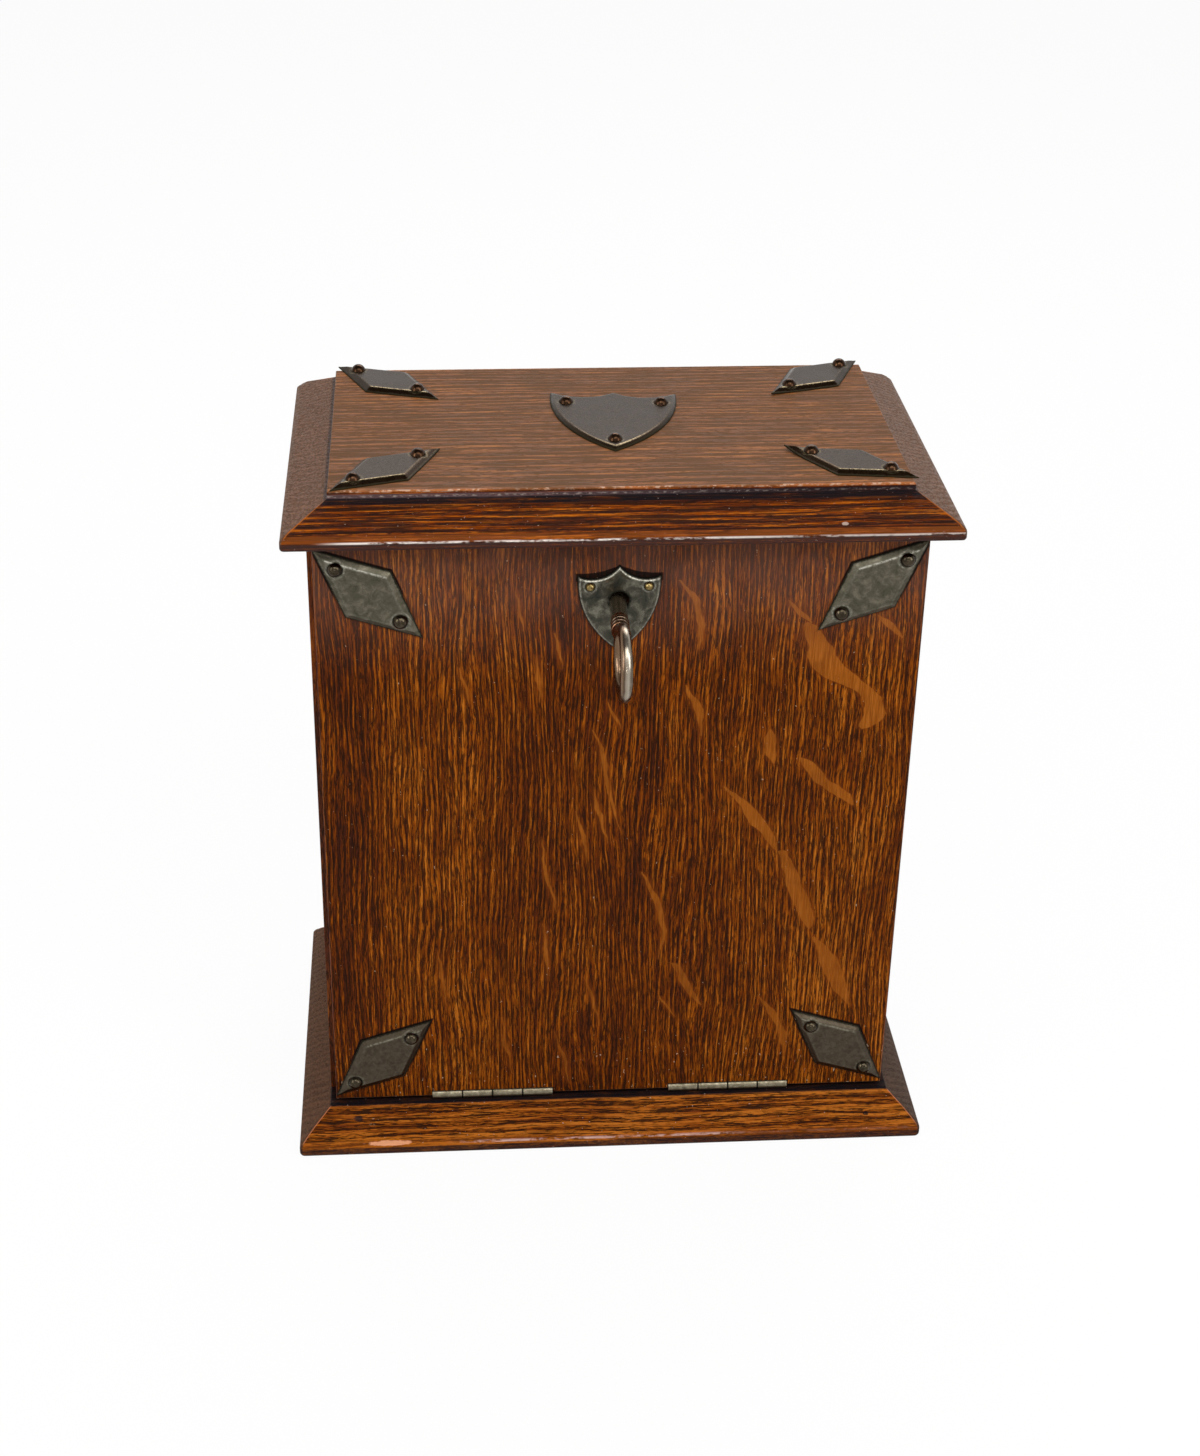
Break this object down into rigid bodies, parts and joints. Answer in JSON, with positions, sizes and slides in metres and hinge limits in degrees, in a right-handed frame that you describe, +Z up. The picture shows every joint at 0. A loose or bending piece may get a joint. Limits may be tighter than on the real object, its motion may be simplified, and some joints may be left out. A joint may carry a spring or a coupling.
{
  "type": "stationery box",
  "caption": "Oak stationery box with a hinged lid, a drop-down front and a lock that holds both shut; stepped letter rack inside.",
  "frame": {"origin": "centre of the base board's underside", "axes": "+X to the right seen from the front, +Y from the front to the back, +Z up"},
  "size_m": [0.2584, 0.2042, 0.2954],
  "materials": {
    "oak_fall": "quarter-sawn oak, waxed, with ray flecks",
    "oak_mouldings": "oak, waxed, worn on the edges",
    "oak_carcass": "oak, waxed",
    "rack_wood": "thin oak boards, lightly waxed",
    "mount_metal": "tarnished nickel plate on pressed sheet",
    "pin_metal": "darkened brass",
    "hinge_metal": "dull nickel plate",
    "lock_brass": "dull brass",
    "key_steel": "polished by handling",
    "screw_steel": "plain steel"
  },
  "bodies": {
    "case": {"base_board": "oak_mouldings", "left_side": "oak_carcass", "right_side": "oak_carcass", "back_panel": "oak_carcass", "front_rail": "rack_wood", "front_divider": "rack_wood", "middle_divider": "rack_wood", "rear_divider": "rack_wood", "base_screws": "screw_steel", "base_leaf_left": "hinge_metal", "base_leaf_right": "hinge_metal", "base_leaf_screws": "screw_steel", "fall_hinge_pins": "hinge_metal", "case_leaf_left": "hinge_metal", "case_leaf_right": "hinge_metal", "case_leaf_screws": "screw_steel", "lid_hinge_pins": "hinge_metal"},
    "fall": {"fall_panel": "oak_fall", "fall_mount_top_left": "mount_metal", "fall_mount_top_right": "mount_metal", "fall_mount_foot_left": "mount_metal", "fall_mount_foot_right": "mount_metal", "fall_mount_pins": "pin_metal", "escutcheon": "mount_metal", "escutcheon_pins": "pin_metal", "lock_plate": "lock_brass", "lock_cap": "lock_brass", "lock_drill_pin": "key_steel", "lock_screws": "screw_steel", "fall_leaf_left": "hinge_metal", "fall_leaf_right": "hinge_metal", "fall_leaf_screws": "screw_steel"},
    "lid": {"lid_board": "oak_mouldings", "lid_mount_front_left": "mount_metal", "lid_mount_front_right": "mount_metal", "lid_mount_back_left": "mount_metal", "lid_mount_back_right": "mount_metal", "lid_mount_pins": "pin_metal", "lid_shield": "mount_metal", "lid_shield_pins": "pin_metal", "link_plate": "lock_brass", "link_staple_left": "lock_brass", "link_staple_right": "lock_brass", "link_screws": "screw_steel", "lid_leaf_left": "hinge_metal", "lid_leaf_right": "hinge_metal", "lid_leaf_screws": "screw_steel"},
    "key": {"key": "key_steel"},
    "lock_bolt": {"lock_bolt": "lock_brass"}
  },
  "joints": [
    {"name": "fall_hinge", "type": "hinge", "parent": "case", "child": "fall", "pos_m": [0, -0.0619, 0.0182], "axis": [1, 0, 0], "range_deg": [0, 78]},
    {"name": "lid_hinge", "type": "hinge", "parent": "case", "child": "lid", "pos_m": [0, 0.0674, 0.27465], "axis": [-1, 0, 0], "range_deg": [0, 100]},
    {"name": "key_turn", "type": "hinge", "parent": "fall", "child": "key", "pos_m": [-0.0012, -0.0629, 0.2482], "axis": [0, 1, 0], "range_deg": [0, 60]},
    {"name": "bolt_slide", "type": "slide", "parent": "fall", "child": "lock_bolt", "axis": [-1, 0, 0], "range_m": [0, 0.0072]}
  ],
  "couplings": [
    {"joint": "bolt_slide", "follows": "key_turn", "m_per_rad": 0.006875}
  ]
}
